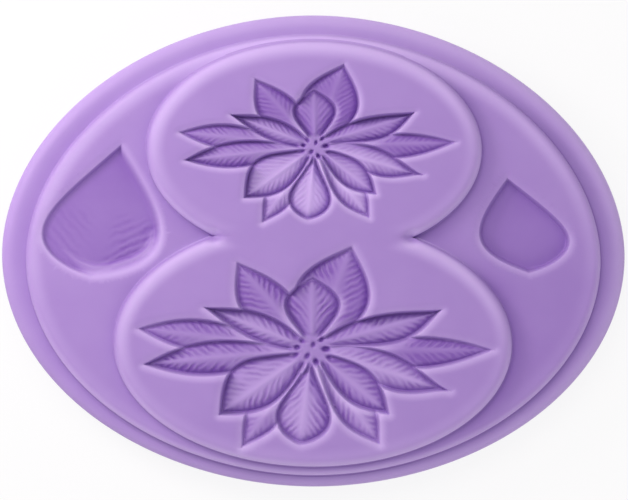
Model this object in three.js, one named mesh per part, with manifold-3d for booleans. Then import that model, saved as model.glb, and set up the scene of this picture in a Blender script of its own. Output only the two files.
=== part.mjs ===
// Silicone fondant mould: two sunken poinsettias on a raised figure-of-eight tier, and two sunken
// leaves on the egg-shaped tier below it. Millimetres, +Z up, origin in the middle of the flat back.

import * as THREE from 'three';
import { mergeVertices } from 'three/addons/utils/BufferGeometryUtils.js';
import Module from 'manifold-3d';

// Flowers: the width across the two widest bract tips, the turn in degrees, and the centre's place
// from the middle of its disc
const LARGE_FLOWER_WIDTH = 53.5;
const LARGE_FLOWER_TURN = 0;
const LARGE_FLOWER_SHIFT_X = 0.15;
const LARGE_FLOWER_SHIFT_Y = -0.85;
const SMALL_FLOWER_WIDTH = 41.7;
const SMALL_FLOWER_TURN = 1.4;
const SMALL_FLOWER_SHIFT_X = -0.3;
const SMALL_FLOWER_SHIFT_Y = 0.65;

// Relief of a flower: how far the floor of a bract rises to its tip and its midrib, the draft of the
// walls, and the eye, which is left standing between the bracts and has small stamen pits in it
const BRACT_TIP_RISE = 1.2;
const BRACT_MIDRIB = 0.8;
const BRACT_DRAFT = 0.35;
const EYE_WIDTH = 5.0;
const EYE_LENGTH = 3.6;
const EYE_DEPTH = 2.5;
const STAMEN_DEPTH = 3.45;

// Flower tier: the plain border round each flower, and how far the two discs run into each other
const LARGE_DISC_BORDER = 3.35;
const SMALL_DISC_BORDER = 4.5;
const DISC_OVERLAP = 5.6;

// Leaves: the length, the width on the outer and the inner side of the midrib, the share of the length at
// which that side is widest, the lean of the midrib in degrees, and the place of the stalk end from the
// nearest cusp of the waist
const LARGE_LEAF_LENGTH = 20.4;
const LARGE_LEAF_OUTER_WIDTH = 8.8;
const LARGE_LEAF_OUTER_WIDEST = 0.27;
const LARGE_LEAF_INNER_WIDTH = 9.0;
const LARGE_LEAF_INNER_WIDEST = 0.37;
const LARGE_LEAF_LEAN = 12.5;
const LARGE_LEAF_SETBACK = 19.0;
const LARGE_LEAF_DROP = 6.2;
const SMALL_LEAF_LENGTH = 14.6;
const SMALL_LEAF_OUTER_WIDTH = 7.1;
const SMALL_LEAF_OUTER_WIDEST = 0.26;
const SMALL_LEAF_INNER_WIDTH = 6.05;
const SMALL_LEAF_INNER_WIDEST = 0.46;
const SMALL_LEAF_LEAN = 13.3;
const SMALL_LEAF_SETBACK = 18.1;
const SMALL_LEAF_DROP = 5.2;

// Relief of a leaf
const LEAF_DEPTH = 2.0;
const LEAF_TIP_RISE = 0.6;
const LEAF_MIDRIB = 0.1;
const LEAF_DRAFT = 0.5;

// Leaf tier: the plain border outside the large leaf, and the strips past the ends of the discs
const LEAF_BORDER = 2.2;
const UPPER_STRIP = 1.1;
const LOWER_STRIP = 1.5;

// Backing slab: the flange past the leaf tier, the thickness under the seat, and the seat's depth
const SIDE_FLANGE = 4.0;
const UPPER_FLANGE = 3.2;
const LOWER_FLANGE = 2.0;
const BACK_THICKNESS = 3.0;
const SEAT_DEPTH = 3.0;

// Steps up to the leaf tier and to the flower tier
const LEAF_STEP = 2.0;
const FLOWER_STEP = 2.0;

// Edge rounds, and the gap kept round each seated piece
const LEAF_EDGE_RADIUS = 0.9;
const FLOWER_EDGE_RADIUS = 1.2;
const FLANGE_EDGE_RADIUS = 1.3;
const BACK_EDGE_RADIUS = 0.6;
const SEAT_GAP = 0.3;

// Outline of the leaf tier and the slab: how much narrower the upper half is, and the fullness of the
// curve, which is 2 for an ellipse
const TIER_EGG = 0.03;
const TIER_FULLNESS = 1.93;
const SLAB_EGG = 0.025;
const SLAB_FULLNESS = 1.95;

// Facets, and how far a cutter reaches past the face that it cuts
const OVAL_SIDES = 88;
const EDGE_STEPS = 3;
const BRACT_STEPS = 9;
const LEAF_STEPS = 10;
const PIT_SIDES = 8;
const OVERCUT = 1.0;

// Shares: where a hollow's first and last stations are, the most that draft takes of a side, how much of
// the midrib's rise the floor has halfway across, and the foot of a pit against its mouth
const FIRST_STATION = 0.03;
const LAST_STATION = 0.985;
const MOST_DRAFT = 0.33;
const HALFWAY_RISE = 0.35;
const PIT_TAPER = 0.7;

// One poinsettia, from its centre, back bracts first: the angle and reach of each tip, the depth of the
// floor at the eye, then the half width and the place of the widest point on the left and right side, and
// the sharpness of the tip
const BRACTS = [
  { angle: 130.7, reach: 17.5, depth: 2.30, left: [4.3, 0.62], right: [3.0, 0.47], sharp: 1.1 },
  { angle: 173.3, reach: 26.4, depth: 2.20, left: [2.4, 0.62], right: [2.6, 0.62], sharp: 1.0 },
  { angle: 234.5, reach: 18.1, depth: 2.25, left: [2.6, 0.60], right: [3.1, 0.60], sharp: 1.1 },
  { angle: 306.2, reach: 17.5, depth: 2.35, left: [3.2, 0.60], right: [2.7, 0.60], sharp: 1.1 },
  { angle: 0.5, reach: 27.3, depth: 2.15, left: [2.1, 0.58], right: [2.9, 0.55], sharp: 1.0 },
  { angle: 69.6, reach: 16.8, depth: 2.45, left: [5.7, 0.48], right: [5.6, 0.54], sharp: 1.05 },
  { angle: 185.2, reach: 25.4, depth: 2.85, left: [2.6, 0.58], right: [2.7, 0.58], sharp: 1.0 },
  { angle: 343.9, reach: 21.7, depth: 2.95, left: [3.0, 0.48], right: [2.5, 0.60], sharp: 1.5 },
  { angle: 158.7, reach: 17.4, depth: 3.40, left: [1.9, 0.45], right: [2.4, 0.48], sharp: 1.1 },
  { angle: 215.3, reach: 17.0, depth: 3.65, left: [3.4, 0.55], right: [4.7, 0.62], sharp: 1.0 },
  { angle: 263.3, reach: 14.3, depth: 3.25, left: [4.2, 0.66], right: [4.2, 0.66], sharp: 0.85 },
  { angle: 320.7, reach: 15.1, depth: 3.55, left: [3.1, 0.58], right: [2.5, 0.58], sharp: 1.0 },
  { angle: 17.7, reach: 20.4, depth: 3.15, left: [2.3, 0.42], right: [2.8, 0.64], sharp: 1.1 },
  { angle: 90.3, reach: 11.0, depth: 3.35, left: [4.2, 0.62], right: [4.3, 0.62], sharp: 0.95 },
];
const BRACT_STALK_SHAPE = 0.8;

// The stamen pits of one eye: the angle and reach of each from the centre, its length along that line and
// its width
const STAMENS = [
  { angle: 144, reach: 2.0, length: 1.3, width: 0.8 },
  { angle: 174, reach: 2.2, length: 1.2, width: 0.85 },
  { angle: 200, reach: 2.5, length: 1.3, width: 0.8 },
  { angle: 235, reach: 1.2, length: 1.2, width: 0.9 },
  { angle: 285, reach: 2.2, length: 1.8, width: 1.0 },
  { angle: 78, reach: 0.75, length: 1.0, width: 0.85 },
  { angle: 48, reach: 2.1, length: 1.2, width: 0.7 },
  { angle: 3, reach: 2.1, length: 1.9, width: 1.0 },
  { angle: 335, reach: 2.8, length: 1.2, width: 0.7 },
];

// Both leaves: the sharpness of the stalk end and of the tip
const LEAF_STALK_SHAPE = 1.1;
const LEAF_TIP_SHAPE = 0.98;

const wasm = await Module();
wasm.setup();

const radians = THREE.MathUtils.degToRad;

// A closed geometry as a solid that can be joined and cut
function toSolid(geometry) {
  const bare = geometry.clone();
  bare.deleteAttribute('normal');
  bare.deleteAttribute('uv');
  const merged = mergeVertices(bare);
  const vertProperties = new Float32Array(merged.attributes.position.array);
  const triVerts = new Uint32Array(merged.index.array);
  return new wasm.Manifold(new wasm.Mesh({ numProp: 3, vertProperties, triVerts }));
}

function toGeometry(solid) {
  const { vertProperties, triVerts } = solid.getMesh();
  const geometry = new THREE.BufferGeometry();
  geometry.setAttribute('position', new THREE.BufferAttribute(vertProperties, 3));
  geometry.setIndex(new THREE.BufferAttribute(triVerts, 1));
  geometry.computeVertexNormals();
  return geometry;
}

// A closed skin through sections of equal point count, with a fan over the first and the last
function loft(sections) {
  const count = sections[0].length;
  const points = sections.flat();
  const faces = [];
  for (let row = 0; row < sections.length - 1; row += 1) {
    for (let i = 0; i < count; i += 1) {
      const here = row * count + i;
      const next = row * count + (i + 1) % count;
      faces.push(here, next, next + count);
      faces.push(here, next + count, here + count);
    }
  }
  const lastRow = sections.length - 1;
  for (const row of [0, lastRow]) {
    const middle = new THREE.Vector3();
    sections[row].forEach((point) => middle.addScaledVector(point, 1 / count));
    const hub = points.push(middle) - 1;
    for (let i = 0; i < count; i += 1) {
      const here = row * count + i;
      const next = row * count + (i + 1) % count;
      faces.push(hub, row === lastRow ? here : next, row === lastRow ? next : here);
    }
  }
  const geometry = new THREE.BufferGeometry().setFromPoints(points);
  geometry.setIndex(faces);
  return geometry;
}

// One level ring of an egg-shaped outline, moved in by an inset
function ovalRing(oval, inset, z) {
  const power = 2 / oval.fullness;
  const ring = [];
  for (let i = 0; i < OVAL_SIDES; i += 1) {
    const angle = (2 * Math.PI * i) / OVAL_SIDES;
    const across = Math.sign(Math.cos(angle)) * Math.abs(Math.cos(angle)) ** power;
    const along = Math.sign(Math.sin(angle)) * Math.abs(Math.sin(angle)) ** power;
    const x = (oval.halfWidth - inset) * across * (1 - oval.egg * along);
    ring.push(new THREE.Vector3(x, oval.y + (oval.halfLength - inset) * along, z));
  }
  return ring;
}

// The rings of a rounded upper edge, from the wall to the top face
function roundedEdge(oval, radius, top) {
  const rings = [];
  for (let i = 0; i <= EDGE_STEPS; i += 1) {
    const turn = (Math.PI / 2) * (i / EDGE_STEPS);
    rings.push(ovalRing(oval, radius * (1 - Math.cos(turn)), top - radius * (1 - Math.sin(turn))));
  }
  return rings;
}

// A tier that stands on the seat and has a rounded upper edge
function tierSolid(oval, radius, top) {
  return toSolid(loft([ovalRing(oval, 0, SEAT_LEVEL), ...roundedEdge(oval, radius, top)]));
}

// The room that a seated oval needs, with the gap round it
function tierRoom(oval, top) {
  const low = ovalRing(oval, -SEAT_GAP, SEAT_LEVEL - OVERCUT);
  return toSolid(loft([low, ovalRing(oval, -SEAT_GAP, top + OVERCUT)]));
}

// A block between two corners, used to keep one half of a tier
function block(low, high) {
  const size = new THREE.Vector3().subVectors(high, low);
  const middle = new THREE.Vector3().addVectors(low, high).multiplyScalar(0.5);
  return toSolid(new THREE.BoxGeometry(size.x, size.y, size.z).translate(middle.x, middle.y, middle.z));
}

// How wide one side of a bract or leaf is, from 0 at its stalk through 1 at its widest to 0 at its tip
function sideShape(t, widest, stalkShape, tipShape) {
  const warp = Math.log(0.5) / Math.log(widest);
  return Math.max(0, Math.sin(Math.PI * t ** warp)) ** (stalkShape + (tipShape - stalkShape) * t);
}

// One station of a hollow, at a share t of the way from stalk to tip
function hollowStation(shape, t) {
  const axis = new THREE.Vector2().subVectors(shape.tip, shape.stalk);
  return {
    spine: shape.stalk.clone().addScaledVector(axis, t),
    leftward: new THREE.Vector2(-axis.y, axis.x).normalize(),
    left: shape.left[0] * sideShape(t, shape.left[1], shape.stalkShape, shape.tipShape),
    right: shape.right[0] * sideShape(t, shape.right[1], shape.stalkShape, shape.tipShape),
  };
}

// The stations of a hollow, which stop just short of its two points
function hollowStations(shape, steps) {
  const stations = [];
  for (let i = 0; i <= steps; i += 1) {
    const t = FIRST_STATION + (LAST_STATION - FIRST_STATION) * (i / steps);
    stations.push({ t, ...hollowStation(shape, t) });
  }
  return stations;
}

// A leaf-shaped hollow as a cutter: walls with draft, and a floor that is deepest along the edges and
// rises to the midrib and towards the tip
function hollowCutter(shape, steps, top) {
  const sections = hollowStations(shape, steps).map(({ t, spine, leftward, left, right }) => {
    const at = (offset, z) => {
      const place = spine.clone().addScaledVector(leftward, offset);
      return new THREE.Vector3(place.x, place.y, z);
    };
    const leftFoot = left - Math.min(shape.draft, left * MOST_DRAFT);
    const rightFoot = right - Math.min(shape.draft, right * MOST_DRAFT);
    const floor = top - shape.depth + shape.tipRise * t * t;
    const rib = shape.midrib * (left + right) / (shape.left[0] + shape.right[0]);
    const flare = 1 + OVERCUT / (top - floor);
    return [
      at(leftFoot + (left - leftFoot) * flare, top + OVERCUT),
      at(-rightFoot - (right - rightFoot) * flare, top + OVERCUT),
      at(-rightFoot, floor),
      at(-rightFoot / 2, floor + rib * HALFWAY_RISE),
      at(0, floor + rib),
      at(leftFoot / 2, floor + rib * HALFWAY_RISE),
      at(leftFoot, floor),
    ];
  });
  return toSolid(loft(sections));
}

// A tapered oval pit, as a cutter
function pitCutter(centre, turn, length, width, depth, top) {
  const height = depth + OVERCUT;
  const pit = new THREE.CylinderGeometry(0.5, 0.5 * PIT_TAPER, height, PIT_SIDES);
  pit.rotateX(Math.PI / 2);
  pit.scale(length, width, 1);
  pit.rotateZ(turn);
  pit.translate(centre.x, centre.y, top + OVERCUT - height / 2);
  return toSolid(pit);
}

// The eye of a flower, as what is left standing up to its own level
function eyeStump(centre, turn, scale, top) {
  const height = top - EYE_DEPTH - SEAT_LEVEL;
  const stump = new THREE.CylinderGeometry(0.5 * PIT_TAPER, 0.5, height, 2 * PIT_SIDES);
  stump.rotateX(Math.PI / 2);
  stump.scale((EYE_WIDTH * scale) / PIT_TAPER, (EYE_LENGTH * scale) / PIT_TAPER, 1);
  stump.rotateZ(turn);
  stump.translate(centre.x, centre.y, SEAT_LEVEL + height / 2);
  return toSolid(stump);
}

// The place of a bract's tip from the centre of a flower at design size
function bractTip(bract) {
  const angle = radians(bract.angle);
  return new THREE.Vector2(Math.cos(angle), Math.sin(angle)).multiplyScalar(bract.reach);
}

function flowerSpan(axis) {
  const reaches = BRACTS.map((bract) => bractTip(bract)[axis]);
  return Math.max(...reaches) - Math.min(...reaches);
}

// All the bracts of one flower, its eye and its stamen pits, as one cutter
function flowerCutter(flower, top) {
  const scale = flower.width / flowerSpan('x');
  const turn = radians(flower.turn);
  const origin = new THREE.Vector2();
  const place = (point) => point.clone().multiplyScalar(scale).rotateAround(origin, turn).add(flower.centre);
  const cutters = BRACTS.map((bract) => hollowCutter({
    stalk: flower.centre,
    tip: place(bractTip(bract)),
    left: [bract.left[0] * scale, bract.left[1]],
    right: [bract.right[0] * scale, bract.right[1]],
    stalkShape: BRACT_STALK_SHAPE,
    tipShape: bract.sharp,
    depth: bract.depth,
    tipRise: BRACT_TIP_RISE,
    midrib: BRACT_MIDRIB,
    draft: BRACT_DRAFT,
  }, BRACT_STEPS, top));
  const bracts = cutters.reduce((sum, cutter) => sum.add(cutter));
  const pits = STAMENS.map(({ angle, reach, length, width }) => {
    const centre = new THREE.Vector2(reach, 0).rotateAround(origin, radians(angle));
    return pitCutter(place(centre), radians(angle) + turn, length * scale, width * scale, STAMEN_DEPTH, top);
  });
  const hollow = bracts.subtract(eyeStump(flower.centre, turn, scale, top));
  return pits.reduce((sum, pit) => sum.add(pit), hollow);
}

// Heights of the seat and of the three levels
const SEAT_LEVEL = BACK_THICKNESS;
const FLANGE_LEVEL = SEAT_LEVEL + SEAT_DEPTH;
const LEAF_LEVEL = FLANGE_LEVEL + LEAF_STEP;
const FLOWER_LEVEL = LEAF_LEVEL + FLOWER_STEP;

// Discs of the flower tier, one above the other, with the whole mould centred on the origin
function flowerDisc(width, border) {
  const halfLength = (flowerSpan('y') * width) / flowerSpan('x') / 2 + border;
  return { halfWidth: width / 2 + border, halfLength, egg: 0, fullness: 2, y: 0 };
}
const largeDisc = flowerDisc(LARGE_FLOWER_WIDTH, LARGE_DISC_BORDER);
const smallDisc = flowerDisc(SMALL_FLOWER_WIDTH, SMALL_DISC_BORDER);
const discsLength = 2 * largeDisc.halfLength - DISC_OVERLAP + 2 * smallDisc.halfLength;
const tierLength = LOWER_STRIP + discsLength + UPPER_STRIP;
const slabLength = LOWER_FLANGE + tierLength + UPPER_FLANGE;
const tierBottom = LOWER_FLANGE - slabLength / 2;
largeDisc.y = tierBottom + LOWER_STRIP + largeDisc.halfLength;
smallDisc.y = tierBottom + tierLength - UPPER_STRIP - smallDisc.halfLength;

const largeFlower = {
  width: LARGE_FLOWER_WIDTH,
  turn: LARGE_FLOWER_TURN,
  centre: new THREE.Vector2(LARGE_FLOWER_SHIFT_X, largeDisc.y + LARGE_FLOWER_SHIFT_Y),
};
const smallFlower = {
  width: SMALL_FLOWER_WIDTH,
  turn: SMALL_FLOWER_TURN,
  centre: new THREE.Vector2(SMALL_FLOWER_SHIFT_X, smallDisc.y + SMALL_FLOWER_SHIFT_Y),
};

// The waist, where the outlines of the two discs cross, found by halving the overlap
function chord(disc, y) {
  return disc.halfWidth * Math.sqrt(Math.max(0, 1 - ((y - disc.y) / disc.halfLength) ** 2));
}
function findWaist() {
  let low = smallDisc.y - smallDisc.halfLength;
  let high = largeDisc.y + largeDisc.halfLength;
  while (high - low > 1e-6) {
    const middle = (low + high) / 2;
    if (chord(largeDisc, middle) > chord(smallDisc, middle)) {
      low = middle;
    } else {
      high = middle;
    }
  }
  return low;
}
const waistY = findWaist();
const cuspX = chord(largeDisc, waistY);

// Leaf hollows: the large one in the left wing, the small one in the right wing, both leaning inwards
const leafRelief = {
  stalkShape: LEAF_STALK_SHAPE,
  tipShape: LEAF_TIP_SHAPE,
  depth: LEAF_DEPTH,
  tipRise: LEAF_TIP_RISE,
  midrib: LEAF_MIDRIB,
  draft: LEAF_DRAFT,
};
function leafShape(side, length, outer, inner, lean, setback, drop) {
  const stalk = new THREE.Vector2(side * (cuspX + setback), waistY - drop);
  const reach = new THREE.Vector2(-side * Math.sin(radians(lean)), Math.cos(radians(lean)));
  return {
    ...leafRelief,
    stalk,
    tip: stalk.clone().addScaledVector(reach, length),
    left: side < 0 ? outer : inner,
    right: side < 0 ? inner : outer,
  };
}
const largeLeaf = leafShape(-1, LARGE_LEAF_LENGTH, [LARGE_LEAF_OUTER_WIDTH, LARGE_LEAF_OUTER_WIDEST],
  [LARGE_LEAF_INNER_WIDTH, LARGE_LEAF_INNER_WIDEST], LARGE_LEAF_LEAN, LARGE_LEAF_SETBACK, LARGE_LEAF_DROP);
const smallLeaf = leafShape(1, SMALL_LEAF_LENGTH, [SMALL_LEAF_OUTER_WIDTH, SMALL_LEAF_OUTER_WIDEST],
  [SMALL_LEAF_INNER_WIDTH, SMALL_LEAF_INNER_WIDEST], SMALL_LEAF_LEAN, SMALL_LEAF_SETBACK, SMALL_LEAF_DROP);

// Outlines of the leaf tier, wide enough for either leaf and its border, and of the slab
function outerReach(leaf) {
  const sides = hollowStations(leaf, LEAF_STEPS).flatMap(({ spine, leftward, left, right }) => [
    Math.abs(spine.x + leftward.x * left),
    Math.abs(spine.x - leftward.x * right),
  ]);
  return Math.max(...sides);
}
const leafTier = {
  halfWidth: Math.max(outerReach(largeLeaf), outerReach(smallLeaf)) + LEAF_BORDER,
  halfLength: tierLength / 2,
  egg: TIER_EGG,
  fullness: TIER_FULLNESS,
  y: tierBottom + tierLength / 2,
};
const slab = {
  halfWidth: leafTier.halfWidth + SIDE_FLANGE,
  halfLength: slabLength / 2,
  egg: SLAB_EGG,
  fullness: SLAB_FULLNESS,
  y: 0,
};

// Flat back and flange in one, with the seat sunk into it
function backingSlab() {
  return loft([
    ovalRing(slab, BACK_EDGE_RADIUS, 0),
    ovalRing(slab, BACK_EDGE_RADIUS * (1 - Math.SQRT1_2), BACK_EDGE_RADIUS * (1 - Math.SQRT1_2)),
    ovalRing(slab, 0, BACK_EDGE_RADIUS),
    ...roundedEdge(slab, FLANGE_EDGE_RADIUS, FLANGE_LEVEL),
    ovalRing(leafTier, -SEAT_GAP, FLANGE_LEVEL),
    ovalRing(leafTier, -SEAT_GAP, SEAT_LEVEL),
  ]);
}

// One half of the leaf tier, round the flower discs, with its leaf hollow
function leafWing(side, leaf) {
  const reach = slab.halfWidth + OVERCUT;
  const inner = side * SEAT_GAP / 2;
  const low = new THREE.Vector3(Math.min(inner, side * reach), -slab.halfLength, 0);
  const high = new THREE.Vector3(Math.max(inner, side * reach), slab.halfLength, FLOWER_LEVEL);
  const room = tierRoom(largeDisc, LEAF_LEVEL).add(tierRoom(smallDisc, LEAF_LEVEL));
  const wing = tierSolid(leafTier, LEAF_EDGE_RADIUS, LEAF_LEVEL).subtract(room).intersect(block(low, high));
  return toGeometry(wing.subtract(hollowCutter(leaf, LEAF_STEPS, LEAF_LEVEL)));
}

// One disc of the flower tier, cut flat at the waist, with its flower hollow
function flowerTierDisc(disc, flower) {
  const side = Math.sign(disc.y - waistY);
  const inner = waistY + side * SEAT_GAP / 2;
  const outer = disc.y + side * (disc.halfLength + OVERCUT);
  const low = new THREE.Vector3(-slab.halfWidth, Math.min(inner, outer), 0);
  const high = new THREE.Vector3(slab.halfWidth, Math.max(inner, outer), FLOWER_LEVEL + OVERCUT);
  const plain = tierSolid(disc, FLOWER_EDGE_RADIUS, FLOWER_LEVEL).intersect(block(low, high));
  return toGeometry(plain.subtract(flowerCutter(flower, FLOWER_LEVEL)));
}

// Soft matt silicone, lilac all through
function silicone() {
  return new THREE.MeshStandardMaterial({ color: 0xa98bd0, roughness: 0.55, metalness: 0 });
}

const fondantMould = new THREE.Group();
fondantMould.name = 'fondant_mould';
const pieces = {
  backing_slab: backingSlab(),
  left_leaf_wing: leafWing(-1, largeLeaf),
  right_leaf_wing: leafWing(1, smallLeaf),
  large_flower_disc: flowerTierDisc(largeDisc, largeFlower),
  small_flower_disc: flowerTierDisc(smallDisc, smallFlower),
};
for (const [name, geometry] of Object.entries(pieces)) {
  const mesh = new THREE.Mesh(geometry, silicone());
  mesh.name = name;
  fondantMould.add(mesh);
}

export default fondantMould;
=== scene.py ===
# %% [markdown]
# Silicone fondant mould with two poinsettias and two leaves.
# The real mould is one casting of soft lilac silicone: a flat backing slab, an egg-shaped tier with
# two sunken leaves, and on that a figure-of-eight tier with two sunken flowers. Sugar paste is pressed
# into the hollows, and the casting is bent by hand until the paste drops out, so nothing is jointed.
# The CAD model is the frame: it gives the levels and the outlines, and the pieces made here take the
# place of its solids.

import math
from types import SimpleNamespace

import bmesh
import bpy
import numpy as np
from mathutils import Matrix, Vector


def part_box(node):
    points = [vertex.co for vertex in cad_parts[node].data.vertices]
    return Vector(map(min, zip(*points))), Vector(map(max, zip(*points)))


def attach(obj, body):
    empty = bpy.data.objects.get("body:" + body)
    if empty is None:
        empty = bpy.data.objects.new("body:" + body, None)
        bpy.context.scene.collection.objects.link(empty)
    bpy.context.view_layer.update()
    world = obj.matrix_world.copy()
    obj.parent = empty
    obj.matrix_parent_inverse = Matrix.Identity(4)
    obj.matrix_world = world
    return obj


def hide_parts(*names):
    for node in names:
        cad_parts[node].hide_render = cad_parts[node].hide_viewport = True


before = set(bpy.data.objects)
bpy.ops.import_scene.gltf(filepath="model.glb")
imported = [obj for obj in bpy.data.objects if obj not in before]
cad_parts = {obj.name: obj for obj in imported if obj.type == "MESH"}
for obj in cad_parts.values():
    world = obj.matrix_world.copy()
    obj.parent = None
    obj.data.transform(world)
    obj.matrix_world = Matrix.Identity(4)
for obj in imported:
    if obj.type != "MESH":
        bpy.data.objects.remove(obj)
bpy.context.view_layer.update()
print("CAD nodes:", sorted(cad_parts))

# %% [markdown]
# The mould has four levels: the seat inside the slab, the flange, the leaf tier and the flower tier.
# They could be typed in again, but the frame knows them, so each is read from a CAD node's box. The
# outlines are ovals from the same boxes. A fullness of 2 is an ellipse and less is leaner, and egg makes
# the upper end narrower. The flower discs are cut where they meet, so their boxes don't show their whole
# length, and these two half lengths repeat the CAD model's. All modelling is done in millimetres, and a
# piece is made metres as its last step.

# %% Levels and outlines
MM = 0.001
SLAB_EGG = 0.025
SLAB_FULLNESS = 1.95
TIER_EGG = 0.03
TIER_FULLNESS = 1.93
LARGE_DISC_HALF_LENGTH = 18.586
SMALL_DISC_HALF_LENGTH = 16.376


def box_mm(node):
    low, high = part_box(node)
    return low / MM, high / MM


def oval(half_width, half_length, y, egg=0.0, fullness=2.0):
    return SimpleNamespace(half_width=half_width, half_length=half_length, y=y, egg=egg, fullness=fullness)


slab_high = box_mm("backing_slab")[1]
wing_low, wing_high = box_mm("left_leaf_wing")
large_low, large_high = box_mm("large_flower_disc")
small_low, small_high = box_mm("small_flower_disc")

SEAT = wing_low.z
FLANGE_TOP = slab_high.z
LEAF_TOP = wing_high.z
FLOWER_TOP = large_high.z
WAIST = (large_high.y + small_low.y) / 2

slab_oval = oval(slab_high.x, slab_high.y, 0.0, SLAB_EGG, SLAB_FULLNESS)
tier_oval = oval(-wing_low.x, (wing_high.y - wing_low.y) / 2, (wing_high.y + wing_low.y) / 2,
                 TIER_EGG, TIER_FULLNESS)
large_oval = oval(large_high.x, LARGE_DISC_HALF_LENGTH, large_low.y + LARGE_DISC_HALF_LENGTH)
small_oval = oval(small_high.x, SMALL_DISC_HALF_LENGTH, small_high.y - SMALL_DISC_HALF_LENGTH)
levels = [round(level, 2) for level in (SEAT, FLANGE_TOP, LEAF_TOP, FLOWER_TOP)]
print(f"levels {levels} mm, waist at y {WAIST:.2f} mm")

# %% [markdown]
# Every step of the casting has the same kind of wall: a flat top, a rounded edge, an upright face and a
# small fillet at its foot, where the cutter that made the master left its own radius. A bevel could round
# the edge afterwards, but the real edge is wider than it is high, so it is drawn as a quarter of an
# ellipse, and only the foot is rounded by a vertex bevel. Beyond the foot a thin skirt laps over the level
# below and is sunk into it by a hair, which closes the seam between two pieces. From there the wall is
# tucked in a little and goes down to the seat.

# %% Profile of a wall
FLOWER_EDGE = (1.6, 1.1)
LEAF_EDGE = (1.3, 0.9)
FLANGE_EDGE = (1.9, 1.3)
ROUND_STEPS = 8
FOOT_RADIUS = 0.35
SKIRT = 0.4
SKIRT_DEPTH = 0.1
SKIRT_SINK = 0.004
TUCK = 0.03


def rounded_edge(wall, top, edge):
    width, height = edge
    turns = [math.pi / 2 * step / ROUND_STEPS for step in range(ROUND_STEPS + 1)]
    return [(wall - width + width * math.sin(turn), top - height + height * math.cos(turn)) for turn in turns]


def wall_to_seat(wall, ground):
    foot = ground - SKIRT_SINK
    return [(wall, foot), (wall + SKIRT, foot), (wall - TUCK, foot - SKIRT_DEPTH), (wall - TUCK, SEAT)]


def draw_profile(bm, points):
    verts = [bm.verts.new((x, 0, z)) for x, z in points]
    for pair in zip(verts, verts[1:]):
        bm.edges.new(pair)
    return verts


def round_corner(bm, vert, radius):
    bmesh.ops.bevel(bm, geom=[vert], offset=radius, offset_type="OFFSET", affect="VERTICES",
                    segments=ROUND_STEPS, profile=0.5, material=-1)


print("rounded edges, width and height in mm:", FLOWER_EDGE, LEAF_EDGE, FLANGE_EDGE)

# %% [markdown]
# A profile becomes a wall by a spin. A full spin of a fine profile is slow, so it is spun by an eighth of
# a turn, and the result is copied and turned three times, which doubles it each time. That gives a circle,
# so the rings are then stretched to the oval. A plain scale would squeeze the rounded edge at the ends, so
# near the wall every ring moves by a fixed inset instead, and the edge keeps its width all the way round.

# %% Spin and stretch
EIGHTH_TURN = math.pi / 4
MERGE = 0.0002
FLAT_BAND = 2.4


def spin_round(bm, turns):
    bmesh.ops.spin(bm, geom=bm.verts[:] + bm.edges[:], cent=(0, 0, 0), axis=(0, 0, 1),
                   angle=EIGHTH_TURN, steps=turns // 8)
    for eighths in (1, 2, 4):
        copied = bmesh.ops.duplicate(bm, geom=bm.verts[:] + bm.edges[:] + bm.faces[:])
        copied_verts = [item for item in copied["geom"] if isinstance(item, bmesh.types.BMVert)]
        turn = Matrix.Rotation(eighths * EIGHTH_TURN, 3, "Z")
        bmesh.ops.rotate(bm, verts=copied_verts, cent=(0, 0, 0), matrix=turn)
    bmesh.ops.remove_doubles(bm, verts=bm.verts, dist=MERGE)


def signed_power(value, power):
    return math.copysign(abs(value) ** power, value)


def stretch_to_oval(verts, shape):
    for vert in verts:
        reach = math.hypot(vert.co.x, vert.co.y)
        if reach < MERGE:
            vert.co.y = shape.y
            continue
        across = signed_power(vert.co.x / reach, 2 / shape.fullness)
        along = signed_power(vert.co.y / reach, 2 / shape.fullness)
        inset = min(shape.half_width - reach, FLAT_BAND)
        share = min(1.0, reach / (shape.half_width - FLAT_BAND))
        vert.co.x = (shape.half_width - inset) * share * across * (1 - shape.egg * along)
        vert.co.y = shape.y + (shape.half_length - inset) * share * along


print(f"rings within {FLAT_BAND} mm of a wall keep their distance from it")

# %% [markdown]
# Edges and corners get a tone of their own, so the script has to know how far a place is from an oval's
# outline, and which way the outline faces there. A search for the nearest point of the outline would be
# exact but slow. The oval's formula divided by its slope gives the same distance close to the outline,
# where it is needed, and for all vertices at once.

# %% Distance and direction on an oval
SLOPE_STEP = 0.01
LEAST_SLOPE = 1e-3
TINY = 1e-6


def smooth_step(low, high, value):
    share = np.clip((value - low) / (high - low), 0.0, 1.0)
    return share * share * (3.0 - 2.0 * share)


def oval_level(shape, x, y):
    along = (y - shape.y) / shape.half_length
    across = x / (shape.half_width * (1 - shape.egg * along))
    return (np.abs(across) ** shape.fullness + np.abs(along) ** shape.fullness) ** (1 / shape.fullness)


def inset_from(shape, x, y):
    slope_x = oval_level(shape, x + SLOPE_STEP, y) - oval_level(shape, x - SLOPE_STEP, y)
    slope_y = oval_level(shape, x, y + SLOPE_STEP) - oval_level(shape, x, y - SLOPE_STEP)
    slope = np.hypot(slope_x, slope_y) / (2 * SLOPE_STEP)
    return (1 - oval_level(shape, x, y)) / np.maximum(slope, LEAST_SLOPE)


def oval_facing(shape, x, y):
    across = x / shape.half_width ** 2
    along = (y - shape.y) / shape.half_length ** 2
    size = np.maximum(np.hypot(across, along), TINY)
    return across / size, along / size


flange_width = inset_from(slab_oval, tier_oval.half_width, tier_oval.y)
print(f"flange {flange_width:.2f} mm wide at the side")

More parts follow.
